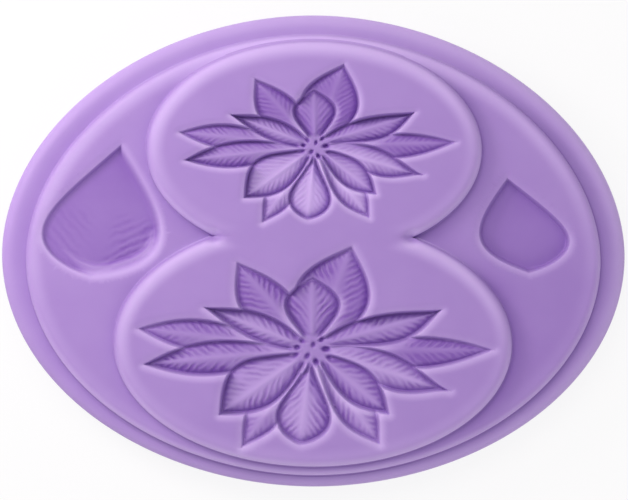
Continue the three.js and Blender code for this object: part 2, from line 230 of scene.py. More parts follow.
# %% [markdown]
# Light goes a little way into silicone, but on so low a relief lamps alone show little of its edges and
# corners. So light and shade are painted into each vertex as a tone, called bloom here: 0 is the deepest
# lilac and 1 the palest. An edge that faces the window, above and a little to the left, gets a painted
# highlight along its crest, an edge in the shade gets a painted glow along a narrow line, and the corner
# at the foot of a wall gets painted shade.

# %% Tones of edges and corners
# A turn says between which two directions a tone comes up: 1 faces the window and -1 faces away.
FLAT_BLOOM = 0.40
WINDOW = (-0.25, 0.97)
EDGE_TURN = (-0.6, 1.0)
TOP_TURN = (0.6, 0.98)
LEAST_WINDOW_LIGHT = 0.22
EDGE_START = -0.1
EDGE_CREST = 1.25
TOP_CREST = 0.6
EDGE_FADE = 3.2
EDGE_GLOW = 0.5
GLOW_FADE = 1.1
GLOW_POWER = 3
CORNER_SHADE = -0.14
CORNER_FADE = 1.6
CORNER_AT_RIGHT = 0.65
CORNER_AT_TOP = -2.5


# The share of painted window light that a surface gets from the way it faces, never quite none.
def painted_window_light(facing_x, facing_y, turn):
    share = smooth_step(*turn, facing_x * WINDOW[0] + facing_y * WINDOW[1])
    return LEAST_WINDOW_LIGHT + (1.0 - LEAST_WINDOW_LIGHT) * share


def at_top(facing):
    return smooth_step(*TOP_TURN, facing[1])


# Painted highlight along the crest of an edge that faces the window, and painted glow along the rim of an
# edge in the shade.
def edge_bloom(inset, facing, strength):
    window_light = painted_window_light(*facing, EDGE_TURN)
    crest_at = EDGE_CREST + (TOP_CREST - EDGE_CREST) * at_top(facing)
    crest = smooth_step(EDGE_START, crest_at, inset) * smooth_step(EDGE_FADE, crest_at, inset)
    shaded = ((1.0 - window_light) / (1.0 - LEAST_WINDOW_LIGHT)) ** GLOW_POWER
    return strength * window_light * crest + EDGE_GLOW * shaded * smooth_step(GLOW_FADE, 0.0, inset)


# Painted shade in the corner at the foot of a wall, deeper on the right; near the top it turns into painted
# light.
def painted_corner_shade(distance, facing):
    shade = 1.0 + CORNER_AT_RIGHT * facing[0] + CORNER_AT_TOP * at_top(facing)
    return CORNER_SHADE * shade * np.exp(-np.maximum(0.0, distance) / CORNER_FADE)


# A wall's tone, with painted shade that deepens towards its foot.
def wall_tone_with_shade(height, top, foot, facing):
    down = np.clip((top - height) / (top - foot), 0.0, 1.0)
    return FLAT_BLOOM + painted_corner_shade(0.0, facing) * down


crest_tone = edge_bloom(EDGE_CREST, (-1.0, 0.0), 1.0)
glow_tone = edge_bloom(0.0, (0.0, -1.0), 1.0)
print(f"of the full tone, a left edge gets {crest_tone:.2f} and a lower edge {glow_tone:.2f}")

# %% [markdown]
# A piece carries its tones in layers of its mesh, one number per vertex: the bloom, and the phase and
# strength of its veins. A picture could hold them, but it would need an unwrapped surface, and layers
# follow the geometry by themselves. Every piece is finished in one place: its doubles are merged, its
# faces are turned outwards, it is scaled to metres, and it takes its finish and its place on the frame.
# Edges between faces at a steep angle, such as where a disc is cut at the waist, stay sharp, and all
# others are shaded smooth.

# %% Layers and finish of a piece
SHARP_ANGLE = math.radians(72)
LAYERS = ("bloom", "vein_phase", "vein_tone")


def new_piece():
    bm = bmesh.new()
    for name in LAYERS:
        bm.verts.layers.float.new(name)
    return bm


def places_of(bm):
    return np.array([vert.co[:] for vert in bm.verts]).T


def set_layer(bm, name, values):
    layer = bm.verts.layers.float[name]
    for vert, value in zip(bm.verts, values):
        vert[layer] = value


def set_heights(bm, heights):
    for vert, height in zip(bm.verts, heights):
        vert.co.z = height


def finish_piece(name, bm, *nodes):
    bmesh.ops.remove_doubles(bm, verts=bm.verts, dist=MERGE)
    bmesh.ops.recalc_face_normals(bm, faces=bm.faces)
    open_edges = sum(1 for edge in bm.edges if not edge.is_manifold)
    bmesh.ops.scale(bm, vec=(MM, MM, MM), verts=bm.verts)
    for face in bm.faces:
        face.smooth = True
    for edge in bm.edges:
        edge.smooth = edge.calc_face_angle(0) < SHARP_ANGLE
    mesh = bpy.data.meshes.new(name)
    bm.to_mesh(mesh)
    bm.free()
    piece = bpy.data.objects.new(name, mesh)
    bpy.context.scene.collection.objects.link(piece)
    mesh.materials.append(silicone)
    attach(piece, "root")
    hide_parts(*nodes)
    mesh.calc_loop_triangles()
    print(f"{name}: {len(mesh.loop_triangles)} triangles, {open_edges} open edges")


print("layers on each piece:", LAYERS)

# %% [markdown]
# The finish is platinum-cured silicone rubber, coloured lilac all through and cast against a satin
# master. It gives the eye a soft, waxy sheen with no sharp reflections: light goes a little way in and
# comes out again, so thin edges glow and shadows are filled with colour. A material is a tree of nodes, and
# one function here adds a node with its settings and links, because written out each would take many
# lines. Colours are written in hex, as on a screen, and turned into the linear values of a shader.

# %% Colours and nodes
DEEP_LILAC = "#825aaf"
PALE_LILAC = "#cdb4e8"


def linear(hex_colour):
    parts = [int(hex_colour[i:i + 2], 16) / 255 for i in (1, 3, 5)]
    return [part / 12.92 if part <= 0.04045 else ((part + 0.055) / 1.055) ** 2.4 for part in parts] + [1.0]


def add_node(tree, kind, settings=None, links=None):
    node = tree.nodes.new(kind)
    for key, value in (settings or {}).items():
        if isinstance(key, str) and hasattr(node, key):
            setattr(node, key, value)
        else:
            node.inputs[key].default_value = value
    for key, source in (links or {}).items():
        tree.links.new(source, node.inputs[key])
    return node


def new_material(name):
    material = bpy.data.materials.new(name)
    material.use_nodes = True
    material.node_tree.nodes.clear()
    return material


print("pale lilac in linear light:", [round(part, 3) for part in linear(PALE_LILAC)[:3]])

# %% [markdown]
# Fine veins, a little over a millimetre apart, run from the midrib of each bract to its edge. As geometry
# they would need a far finer mesh, or come out ragged. So the mesh only says how far along the veins a place
# is and how strong they are, and the finish draws them as a cosine wave. One noise shifts that wave,
# because veins wander, and another makes it stronger in patches, because a master is carved by hand.

# %% Veins in the finish
VEIN_DRIFT = 1.8
VEIN_WANDER = 6.0
VEIN_PATCH = 2.6
PATCH_CONTRAST = 3.2
PATCH_BASE = -0.6
FAINTEST_VEIN = 0.1

silicone = new_material("lilac_silicone_satin")
tree = silicone.node_tree
place = add_node(tree, "ShaderNodeTexCoord")
phase = add_node(tree, "ShaderNodeAttribute", {"attribute_name": "vein_phase"})
streak = add_node(tree, "ShaderNodeAttribute", {"attribute_name": "vein_tone"})
drift = add_node(tree, "ShaderNodeTexNoise", {"Scale": 1 / (VEIN_DRIFT * MM), "Detail": 2.0},
                 {"Vector": place.outputs["Object"]})
drifted = add_node(tree, "ShaderNodeMath", {"operation": "MULTIPLY_ADD", 1: VEIN_WANDER},
                   {0: drift.outputs["Fac"], 2: phase.outputs["Fac"]})
wave = add_node(tree, "ShaderNodeMath", {"operation": "COSINE"}, {0: drifted.outputs[0]})
raised = add_node(tree, "ShaderNodeMath", {"operation": "MULTIPLY_ADD", 1: 0.5, 2: 0.5},
                  {0: wave.outputs[0]})
patchy = add_node(tree, "ShaderNodeTexNoise", {"Scale": 1 / (VEIN_PATCH * MM), "Detail": 1.0},
                  {"Vector": place.outputs["Object"]})
patch = add_node(tree, "ShaderNodeMath", {"operation": "MULTIPLY_ADD", 1: PATCH_CONTRAST, 2: PATCH_BASE},
                 {0: patchy.outputs["Fac"]})
patch = add_node(tree, "ShaderNodeMath", {"operation": "MAXIMUM", 1: FAINTEST_VEIN}, {0: patch.outputs[0]})
uneven_streak = add_node(tree, "ShaderNodeMath", {"operation": "MULTIPLY"},
                         {0: patch.outputs[0], 1: streak.outputs["Fac"]})
vein = add_node(tree, "ShaderNodeMath", {"operation": "MULTIPLY"},
                {0: raised.outputs[0], 1: uneven_streak.outputs[0]})
print(f"veins wander over {VEIN_DRIFT} mm and change over {VEIN_PATCH} mm")

# %% [markdown]
# The pigment of a small batch is not quite even, so a soft cloud shifts the bloom a little. Bloom, which
# holds the painted light and shade, then chooses between the deep and the pale lilac, and makes the pale
# places duller with a rougher surface. The surface also has the fine tooth of the master. The real tooth
# is too fine to show here, so it is drawn at about a third of a millimetre.

# %% Pigment, painted light, sheen and tooth
PIGMENT_CLOUD = 7.0
CLOUD_TONE = 0.12
DEEP_ROUGHNESS = 0.40
PALE_ROUGHNESS_GAIN = 0.18
SURFACE_TOOTH = 0.35
TOOTH_HEIGHT = 0.012
TOOTH_STRENGTH = 0.5
VEIN_DEPTH = 0.3

bloom = add_node(tree, "ShaderNodeAttribute", {"attribute_name": "bloom"})
cloud = add_node(tree, "ShaderNodeTexNoise", {"Scale": 1 / (PIGMENT_CLOUD * MM), "Detail": 3.0},
                 {"Vector": place.outputs["Object"]})
uneven = add_node(tree, "ShaderNodeMath", {"operation": "MULTIPLY_ADD", 1: CLOUD_TONE},
                  {0: cloud.outputs["Fac"], 2: bloom.outputs["Fac"]})
# The veins also darken the colour: painted shade in their grooves, alongside the bump below.
veined = add_node(tree, "ShaderNodeMath", {"operation": "SUBTRACT"},
                  {0: uneven.outputs[0], 1: vein.outputs[0]})
clamped_tone = add_node(tree, "ShaderNodeMath", {"operation": "SUBTRACT", 1: CLOUD_TONE / 2, "use_clamp": True},
                   {0: veined.outputs[0]})
# The base colour is the deep or the pale lilac, as the painted light and shade in the bloom say.
# Inputs 6 and 7 of a Mix node are its two colours, and output 2 is the colour that comes out.
lilac_and_painted_light = add_node(tree, "ShaderNodeMix",
                   {"data_type": "RGBA", 6: linear(DEEP_LILAC), 7: linear(PALE_LILAC)},
                   {0: clamped_tone.outputs[0]})
satin = add_node(tree, "ShaderNodeMath", {"operation": "MULTIPLY_ADD", 1: PALE_ROUGHNESS_GAIN, 2: DEEP_ROUGHNESS},
                 {0: clamped_tone.outputs[0]})
tooth = add_node(tree, "ShaderNodeTexNoise", {"Scale": 1 / (SURFACE_TOOTH * MM), "Detail": 2.0},
                 {"Vector": place.outputs["Object"]})
bump = add_node(tree, "ShaderNodeBump", {"Strength": TOOTH_STRENGTH, "Distance": TOOTH_HEIGHT * MM},
                {"Height": tooth.outputs["Fac"]})
bump = add_node(tree, "ShaderNodeBump", {"Strength": 1.0, "Distance": VEIN_DEPTH * MM, "invert": True},
                {"Height": vein.outputs[0], "Normal": bump.outputs["Normal"]})
pale_roughness = DEEP_ROUGHNESS + PALE_ROUGHNESS_GAIN
print(f"roughness {DEEP_ROUGHNESS:.2f} in the deep lilac, {pale_roughness:.2f} in the palest")

# %% [markdown]
# One Principled shader brings this together, with silicone's index of 1.41 and a little subsurface light.
# Glass-like transmission would make it clear, and real silicone of this thickness is not. Red goes
# furthest in and green least, which keeps the glow of the edges pink rather than grey.

# %% Lilac silicone
SILICONE_INDEX = 1.41
GLOW_WEIGHT = 0.15
GLOW_COLOURS = (1.0, 0.6, 0.9)
GLOW_DEPTH = 0.35

skin = add_node(tree, "ShaderNodeBsdfPrincipled",
                {"IOR": SILICONE_INDEX, "Subsurface Weight": GLOW_WEIGHT,
                 "Subsurface Radius": GLOW_COLOURS, "Subsurface Scale": GLOW_DEPTH * MM},
                {"Base Color": lilac_and_painted_light.outputs[2], "Roughness": satin.outputs[0],
                 "Normal": bump.outputs["Normal"]})
add_node(tree, "ShaderNodeOutputMaterial", None, {"Surface": skin.outputs["BSDF"]})
print(f"finish {silicone.name}: {len(tree.nodes)} nodes")

# %% [markdown]
# The backing slab carries everything and is the flange that shows round the leaf tier. It could be two
# ovals joined by a bridge. One profile is spun instead, from the seat up over the flange and round the rim
# to the back, because then all rings have equal counts and nothing twists: the seat's rings are stretched to
# the tier's oval and the others to the slab's. The spokes between them are subdivided, so that the flange
# has rings for its tone, and the back and the seat are filled.

# %% Backing slab
RIM_TURNS = 256
FLANGE_RINGS = 6
BACK_EDGE_RADIUS = 0.6
BACK_BORDER = 0.5
SAME_LEVEL = 0.001
FLANGE_EDGE_HIGHLIGHT = 0.31
FLANGE_AT_RIGHT = 0.4
FLANGE_AT_TOP = 0.2
FLANGE_FADE = 3.2
FLANGE_CORNER = 0.5


def loop_at(bm, height):
    edges = [edge for edge in bm.edges if edge.is_boundary or edge.is_wire]
    return [edge for edge in edges if all(abs(vert.co.z - height) < SAME_LEVEL for vert in edge.verts)]


bm = new_piece()
wall = slab_oval.half_width
seat_wall = tier_oval.half_width + TUCK
verts = draw_profile(bm, [(seat_wall, SEAT), (seat_wall, FLANGE_TOP)]
                     + rounded_edge(wall, FLANGE_TOP, FLANGE_EDGE)
                     + [(wall, 0), (wall - BACK_EDGE_RADIUS - BACK_BORDER, 0)])
back_edge = verts[-2]
round_corner(bm, back_edge, BACK_EDGE_RADIUS)
spin_round(bm, RIM_TURNS)
seat_verts = {vert for vert in bm.verts if math.hypot(vert.co.x, vert.co.y) < seat_wall + MERGE}
rim_verts = [vert for vert in bm.verts if vert not in seat_verts]
stretch_to_oval(seat_verts, tier_oval)
stretch_to_oval(rim_verts, slab_oval)
spokes = [edge for edge in bm.edges if len(seat_verts.intersection(edge.verts)) == 1]
bmesh.ops.subdivide_edges(bm, edges=spokes, cuts=FLANGE_RINGS, use_grid_fill=True)
bmesh.ops.holes_fill(bm, edges=loop_at(bm, 0), sides=0)
bmesh.ops.holes_fill(bm, edges=loop_at(bm, SEAT), sides=0)

x, y, z = places_of(bm)
# Painted highlight on the flange's rim, stronger to the right and the top, and painted shade at the foot of
# the leaf tier, which turns into painted light at the top; the outer wall gets painted shade towards its
# foot.
facing = oval_facing(slab_oval, x, y)
strength = FLANGE_EDGE_HIGHLIGHT * (1.0 + FLANGE_AT_RIGHT * facing[0] + FLANGE_AT_TOP * facing[1])
flange = FLAT_BLOOM + strength * smooth_step(FLANGE_FADE, 0.0, inset_from(slab_oval, x, y))
flange = flange + FLANGE_CORNER * painted_corner_shade(-inset_from(tier_oval, x, y), facing)
wall_top = FLANGE_TOP - FLANGE_EDGE[1]
set_layer(bm, "bloom", np.where(z > wall_top - MERGE, flange, wall_tone_with_shade(z, wall_top, 0, facing)))
finish_piece("slab_skin", bm, "backing_slab")

# %% [markdown]
# The mould lies on white paper in a bright room. White could come from stronger lamps, but they would
# bleach the lilac. So the room lights the object at a plain level only, and rays that meet the room or the
# paper directly, or in a reflection, find white there. The paper keeps a share of its own shading, so the
# mould's soft shadow still shows on it.

# %% Room and paper
ROOM_STRENGTH = 0.50
PAPER_WHITE = 0.86
PAPER_SIZE = 1.5


def seen_directly(tree):
    path = add_node(tree, "ShaderNodeLightPath")
    seen = add_node(tree, "ShaderNodeMath", {"operation": "MAXIMUM"},
                    {0: path.outputs["Is Camera Ray"], 1: path.outputs["Is Transmission Ray"]})
    seen = add_node(tree, "ShaderNodeMath", {"operation": "MAXIMUM"},
                    {0: seen.outputs[0], 1: path.outputs["Is Glossy Ray"]})
    return seen.outputs[0]


world = bpy.data.worlds.new("soft_room")
bpy.context.scene.world = world
world.use_nodes = True
tree = world.node_tree
tree.nodes.clear()
room = add_node(tree, "ShaderNodeBackground", {"Color": linear("#f3f1f6"), "Strength": ROOM_STRENGTH})
white = add_node(tree, "ShaderNodeBackground", {"Color": linear("#ffffff"), "Strength": 1.0})
mix = add_node(tree, "ShaderNodeMixShader", None,
               {0: seen_directly(tree), 1: room.outputs[0], 2: white.outputs[0]})
add_node(tree, "ShaderNodeOutputWorld", None, {"Surface": mix.outputs[0]})

paper = new_material("white_paper_floor")
tree = paper.node_tree
share = add_node(tree, "ShaderNodeMath", {"operation": "MULTIPLY", 1: PAPER_WHITE}, {0: seen_directly(tree)})
matt = add_node(tree, "ShaderNodeBsdfDiffuse", {"Color": linear("#f4f4f4")})
glow = add_node(tree, "ShaderNodeEmission", {"Color": linear("#ffffff"), "Strength": 1.0})
mix = add_node(tree, "ShaderNodeMixShader", None,
               {0: share.outputs[0], 1: matt.outputs[0], 2: glow.outputs[0]})
add_node(tree, "ShaderNodeOutputMaterial", None, {"Surface": mix.outputs[0]})

bm = bmesh.new()
bmesh.ops.create_grid(bm, x_segments=1, y_segments=1, size=PAPER_SIZE)
mesh = bpy.data.meshes.new("paper_floor")
bm.to_mesh(mesh)
bm.free()
floor = bpy.data.objects.new("paper_floor", mesh)
bpy.context.scene.collection.objects.link(floor)
mesh.materials.append(paper)
print("stage:", floor.name)

# %% [markdown]
# Daylight comes from a window beyond the top of the picture and from a smaller pane at the upper left,
# and the table throws a little of it back from below. A sun lamp would give hard shadow lines in the
# hollows. Area lamps of the size of the panes give soft ones. Each is turned to the middle of the mould.

# %% Lamps
# Each row has a name, a place and a size in metres, a power in watts and a colour.
LAMPS = [
    ("window_above", (-0.06, 0.16, 0.30), (0.30, 0.20), 0.47, "#fff6fb"),
    ("table_fill", (0.06, -0.28, 0.16), (0.30, 0.20), 0.22, "#fdf6ff"),
    ("window_left", (-0.13, 0.07, 0.09), (0.06, 0.05), 0.115, "#fff0f6"),
]

for name, lamp_place, size, power, colour in LAMPS:
    lamp = bpy.data.lights.new(name, "AREA")
    lamp.shape = "RECTANGLE"
    lamp.size, lamp.size_y = size
    lamp.energy = power
    lamp.color = linear(colour)[:3]
    holder = bpy.data.objects.new(name, lamp)
    holder.location = lamp_place
    holder.rotation_euler = (-Vector(lamp_place)).to_track_quat("-Z", "Y").to_euler()
    bpy.context.scene.collection.objects.link(holder)
print(f"{len(LAMPS)} lamps")

# %% [markdown]
# The camera looks straight down on the mould. It could be placed by eye, but the size of a pixel on the
# mould is known, so its distance follows from that and the lens. A long lens is chosen, because the walls
# of the tiers hardly show on any side. The camera comes before the hollows, so that each piece can be
# looked at while it is made.

# %% Camera
IMAGE_WIDTH = 628
MM_PER_PIXEL = 0.152
LENS = 120.0
SENSOR = 36.0
AIM = (0.10, 0.15, 7.0)
CAMERA_TURN = math.radians(0.4)

camera_data = bpy.data.cameras.new("photo_camera")
camera_data.lens = LENS
camera_data.sensor_width = SENSOR
camera = bpy.data.objects.new("photo_camera", camera_data)
distance = IMAGE_WIDTH * MM_PER_PIXEL * MM * LENS / SENSOR
camera.location = Vector(AIM) * MM + Vector((0, 0, distance))
camera.rotation_euler = (0, 0, CAMERA_TURN)
bpy.context.scene.collection.objects.link(camera)
bpy.context.scene.camera = camera
bpy.context.scene.view_settings.view_transform = "Standard"
print(f"camera {distance / MM:.0f} mm above the mould")

# %% [markdown]
# Bracts and leaves are the same kind of hollow. Seen from above, each side of a hollow swells from the
# stalk to its widest place and narrows to the tip. A curve could be drawn for every side, but a sine with
# a shifted peak gives them all from two numbers, a half width and a widest place. Depth and tone depend on
# the true distance to that outline, so the outline is cut into short lines, and the nearest one is found
# for all vertices at once.

# %% Outline of a hollow
OUTLINE_STEPS = 40
FAR = 1e6
LEAST_SQUARE = 1e-9


def side_shape(way, widest, stalk_shape, tip_shape):
    warp = math.log(0.5) / math.log(widest)
    power = stalk_shape + (tip_shape - stalk_shape) * way
    return np.maximum(0.0, np.sin(np.pi * way ** warp)) ** power


def half_widths(hollow, way):
    left = hollow.left[0] * side_shape(way, hollow.left[1], hollow.blunt, hollow.sharp)
    right = hollow.right[0] * side_shape(way, hollow.right[1], hollow.blunt, hollow.sharp)
    return left, right


def rim_offset(hollow, along, across):
    way = (1 - np.cos(np.linspace(0, np.pi, OUTLINE_STEPS))) / 2
    left, right = half_widths(hollow, way)
    rim_x = np.concatenate([way, way[::-1]]) * hollow.reach
    rim_y = np.concatenate([left, -right[::-1]])
    nearest = np.full_like(along, FAR)
    offset_x, offset_y = np.zeros_like(along), np.zeros_like(along)
    for from_x, from_y, to_x, to_y in zip(rim_x, rim_y, rim_x[1:], rim_y[1:]):
        line_x, line_y = to_x - from_x, to_y - from_y
        share = (along - from_x) * line_x + (across - from_y) * line_y
        share = np.clip(share / max(line_x * line_x + line_y * line_y, LEAST_SQUARE), 0.0, 1.0)
        away_x, away_y = along - from_x - share * line_x, across - from_y - share * line_y
        square = away_x * away_x + away_y * away_y
        closer = square < nearest
        nearest = np.where(closer, square, nearest)
        offset_x, offset_y = np.where(closer, away_x, offset_x), np.where(closer, away_y, offset_y)
    return offset_x, offset_y


print(f"the outline of a hollow has {2 * OUTLINE_STEPS - 1} short lines")

# %% [markdown]
# For each vertex near a hollow, the next cell works out its place in it: the way from stalk to tip, the
# way out from the midrib, the distance inside the rim, and how much the rim there faces the window.
# Inside, the floor swells up from a channel along the edge to a ridge along the midrib, because the paste
# piece has to be thin at its rim and pressed in along its middle. An exponential keeps the floor from
# ever reaching the top, whatever is added up. The large leaf also has a low ledge near its stalk, which
# makes the paste leaf thinner there.

# %% Place, floor and ledge in a hollow
LIP_TURN = (-0.7, 0.3)
SHALLOWEST = 0.35
WALL_FOOT = 0.6
MIDRIB_WIDTH = 0.45
RIDGE_ROOM = 1.5
RIDGE_HIGHLIGHT = 0.35
TIP_PART = (0.5, 1.0)
LEDGE_WIDTH = (2.1, 1.3)
LEDGE_LENGTH = (0.45, 0.3)
LEDGE_SIDE = (0.9, -0.1)


# How much the rim faces the window sets the painted highlight on the hollow's lip.
def locate(hollow, along, across):
    way = np.clip(along / hollow.reach, 0.0, 1.0)
    left, right = half_widths(hollow, way)
    side = np.maximum(np.where(across > 0, left, right), TINY)
    enclosed = (along > 0) & (along < hollow.reach) & (np.abs(across) < side)
    inward = np.where(enclosed, 1.0, -1.0)
    offset_x, offset_y = rim_offset(hollow, along, across)
    inside = inward * np.hypot(offset_x, offset_y)
    size = np.maximum(np.abs(inside), TINY) * inward
    turn = math.radians(hollow.angle)
    facing_x = (offset_x * math.cos(turn) - offset_y * math.sin(turn)) / size
    facing_y = (offset_x * math.sin(turn) + offset_y * math.cos(turn)) / size
    return SimpleNamespace(along=along, across=across, way=way, side=side, inside=inside,
                           out=np.clip(np.abs(across) / side, 0.0, 1.0),
                           window_light=painted_window_light(facing_x, facing_y, LIP_TURN))


def floor_of(hollow, relief, spot, slope):
    swell = 1.0 - np.exp(-np.maximum(0.0, spot.inside - WALL_FOOT * slope) / relief.channel)
    midrib = relief.midrib * np.exp(-(spot.across / MIDRIB_WIDTH) ** 2)
    ridge = relief.ridge * (1.0 - spot.out * spot.out) + midrib
    ridge = ridge * np.minimum(1.0, spot.side / RIDGE_ROOM)
    leftward = (spot.across + hollow.right[0]) / (hollow.left[0] + hollow.right[0])
    lean = relief.tilt * np.clip(leftward, 0.0, 1.0)
    room = hollow.depth * (1.0 - lean) - relief.tip_rise * spot.way * spot.way - SHALLOWEST
    depth = SHALLOWEST + room * np.exp(-(relief.swell * swell + ridge) / room)
    # The floor's tone is painted light and shade: deep in the channel, paler up the swell and along the
    # ridge, and darker towards the tip.
    low, high = hollow.blooms
    bloom = low + (high - low) * swell + RIDGE_HIGHLIGHT * ridge
    return depth, bloom - relief.tip_shade * smooth_step(*TIP_PART, spot.way)


def ledge_of(spot):
    near_rim = smooth_step(*LEDGE_WIDTH, spot.inside)
    near_stalk = smooth_step(*LEDGE_LENGTH, spot.way)
    return near_rim * near_stalk * smooth_step(*LEDGE_SIDE, spot.across / spot.side)


print(f"no hollow is shallower than {SHALLOWEST} mm inside its wall")

# %% [markdown]
# The section puts a hollow together. Its rim dips softly as the brim, the wall drops from a lip to the
# floor, and each side of the hollow can have a wall of its own width. A relief holds these widths, heights
# and tones for one kind of hollow. The veins lean from the midrib towards the tip, start beside the midrib
# and end before the edge. On a carved master the whole would be cut in one pass, so here it is one height
# formula, which says how deep a hollow is at any place.

# %% Section of a hollow
MIDDLE_BAND = 0.4
BRIM_END = 0.3
SIDE_SHIFT = 1.9
VEIN_FROM_RIB = (0.05, 0.4)
VEIN_TO_EDGE = (0.2, 1.0)
VEIN_END_FADE = 0.2
LEDGE_CLEARS = 0.6


def veins_of(relief, spot):
    phase = 2 * np.pi * (spot.along - relief.vein_lean * np.abs(spot.across)) / relief.vein_spacing
    phase = phase + np.where(spot.across > 0, SIDE_SHIFT, 0.0)
    streak = relief.vein_tone * smooth_step(*VEIN_FROM_RIB, spot.out)
    streak = streak * smooth_step(*VEIN_TO_EDGE, spot.inside)
    streak = streak * np.where(spot.across > 0, relief.vein_left, 1.0)
    streak = streak * smooth_step(relief.vein_end, relief.vein_end - VEIN_END_FADE, spot.way)
    return phase, streak


def section(hollow, relief, along, across):
    spot = locate(hollow, along, across)
    left_wall, right_wall = relief.walls
    leftward = smooth_step(-MIDDLE_BAND, MIDDLE_BAND, spot.across / spot.side)
    slope = right_wall + (left_wall - right_wall) * leftward
    wall = smooth_step(-relief.lip, slope, spot.inside)
    brim = relief.brim * smooth_step(-relief.brim_width, BRIM_END, spot.inside) * (1.0 - wall)
    # Painted highlight on the lip where the rim faces the window.
    lip = relief.lip_bloom * spot.window_light * smooth_step(-relief.brim_width, 0.0, spot.inside)
    depth, bloom = floor_of(hollow, relief, spot, slope)
    phase, streak = veins_of(relief, spot)
    ledge = ledge_of(spot)
    depth = depth - relief.ledge * ledge
    # The raised ledge gets a painted highlight.
    bloom = bloom + relief.ledge_bloom * ledge
    streak = streak * (1.0 - LEDGE_CLEARS * relief.ledge * ledge)
    return SimpleNamespace(inside=spot.inside, wall=wall, brim=brim, lip=lip, depth=depth, bloom=bloom,
                           phase=phase, streak=streak)


print(f"veins end {VEIN_TO_EDGE[0]} to {VEIN_TO_EDGE[1]} mm inside the rim")

# %% [markdown]
# A hollow is sunk into a surface that may hold others already. A boolean would cut where they overlap, and
# leave ragged edges. Here the new hollow takes over inside its own rim and leaves the older ones as they
# are outside it, so each later hollow lies in front of the earlier ones, with its wall drawn in full.

# %% Sinking a hollow
LIP_WIDTH = 1.5
VEIN_GAP = 0.8


def flat_surface(bloom):
    zero = np.zeros_like(bloom)
    return SimpleNamespace(depth=zero, bloom=bloom.copy(), phase=zero.copy(), streak=zero.copy())


def sink_hollow(surface, hollow, relief, x, y):
    angle = math.radians(hollow.angle)
    from_x, from_y = x - hollow.stalk[0], y - hollow.stalk[1]
    along = from_x * math.cos(angle) + from_y * math.sin(angle)
    across = from_y * math.cos(angle) - from_x * math.sin(angle)
    beside = max(hollow.left[0], hollow.right[0]) + LIP_WIDTH
    near = (along > -LIP_WIDTH) & (along < hollow.reach + LIP_WIDTH) & (np.abs(across) < beside)
    cut = section(hollow, relief, along[near], across[near])
    depth, bloom = surface.depth[near], surface.bloom[near] + cut.lip
    surface.depth[near] = depth + (cut.depth - depth) * cut.wall + cut.brim
    surface.bloom[near] = bloom + (cut.bloom - bloom) * cut.wall
    clear = surface.streak[near] * smooth_step(0.0, -VEIN_GAP, cut.inside)
    surface.streak[near] = np.where(cut.inside > 0, cut.streak, clear)
    surface.phase[near] = np.where(cut.inside > 0, cut.phase, surface.phase[near])


def set_layers(bm, top, tones, surface):
    phases, streaks = np.zeros_like(tones), np.zeros_like(tones)
    tones[top], phases[top], streaks[top] = surface.bloom, surface.phase, surface.streak
    set_layer(bm, "bloom", tones)
    set_layer(bm, "vein_phase", phases)
    set_layer(bm, "vein_tone", streaks)


print(f"a hollow's lip reaches up to {LIP_WIDTH} mm beyond its rim")

# %% [markdown]
# The poinsettia has fourteen bracts in three layers, the front ones sunk deepest, because in the mould
# front and back change places. They could be copies of one bract, but the real ones all differ. So each
# row of the table is one bract: the angle and reach of its tip, its depth, the half width and widest place
# of its left and right side, how sharp its tip is, and how much painted light or shade makes its floor
# paler or deeper than the rest. The rows follow the CAD model's flower, with one tip blunter. Nine small
# pits in the eye of the flower become the stamens, each with its angle, reach, half length, half width and
# depth.

# %% Poinsettia
BRACTS = [
    (130.7, 17.5, 2.30, (4.3, 0.62), (3.0, 0.47), 1.1, 0.0),
    (173.3, 26.4, 2.20, (2.4, 0.62), (2.6, 0.62), 1.0, -0.04),
    (234.5, 18.1, 2.25, (2.6, 0.60), (3.1, 0.60), 1.1, 0.0),
    (306.2, 17.5, 2.35, (3.2, 0.60), (2.7, 0.60), 1.1, 0.12),
    (0.5, 27.3, 2.15, (2.1, 0.58), (2.9, 0.55), 1.0, -0.2),
    (69.6, 16.8, 2.45, (5.7, 0.48), (5.6, 0.54), 1.05, 0.0),
    (185.2, 25.4, 2.85, (2.6, 0.58), (2.7, 0.58), 1.0, -0.03),
    (343.9, 21.7, 2.95, (3.0, 0.48), (2.5, 0.60), 1.5, 0.05),
    (158.7, 17.4, 3.40, (1.9, 0.45), (2.4, 0.48), 1.1, 0.05),
    (215.3, 17.0, 3.65, (3.4, 0.55), (4.7, 0.62), 1.0, 0.0),
    (263.3, 14.3, 3.25, (4.2, 0.72), (4.2, 0.72), 0.66, 0.0),
    (320.7, 15.1, 3.55, (3.1, 0.58), (2.5, 0.58), 1.0, -0.15),
    (17.7, 20.4, 3.15, (2.3, 0.42), (2.8, 0.64), 1.1, -0.08),
    (90.3, 11.0, 3.35, (4.2, 0.62), (4.3, 0.62), 0.95, -0.06),
]
STAMENS = [
    (139, 2.0, 0.70, 0.45, 0.55),
    (172, 2.3, 0.65, 0.50, 0.70),
    (198, 2.6, 0.70, 0.45, 0.55),
    (234, 1.2, 0.70, 0.50, 0.55),
    (288, 2.1, 0.85, 0.55, 0.75),
    (76, 0.8, 0.60, 0.45, 0.55),
    (47, 2.1, 0.65, 0.45, 0.60),
    (3, 2.1, 0.90, 0.55, 0.80),
    (335, 2.8, 0.65, 0.40, 0.45),
]
STALK_BLUNT = 0.8
FRONT_DEPTH = 2.9
CHANNEL_SHADE = 0.03
EYE_WIDTH = 6.2
EYE_LENGTH = 4.6
EYE_DEPTH = 2.5
EYE_BLOOM = 0.38
EYE_EDGE = (1.2, 0.8)
PIT_EDGE = (1.1, 0.1)
PIT_SHADE = 0.8

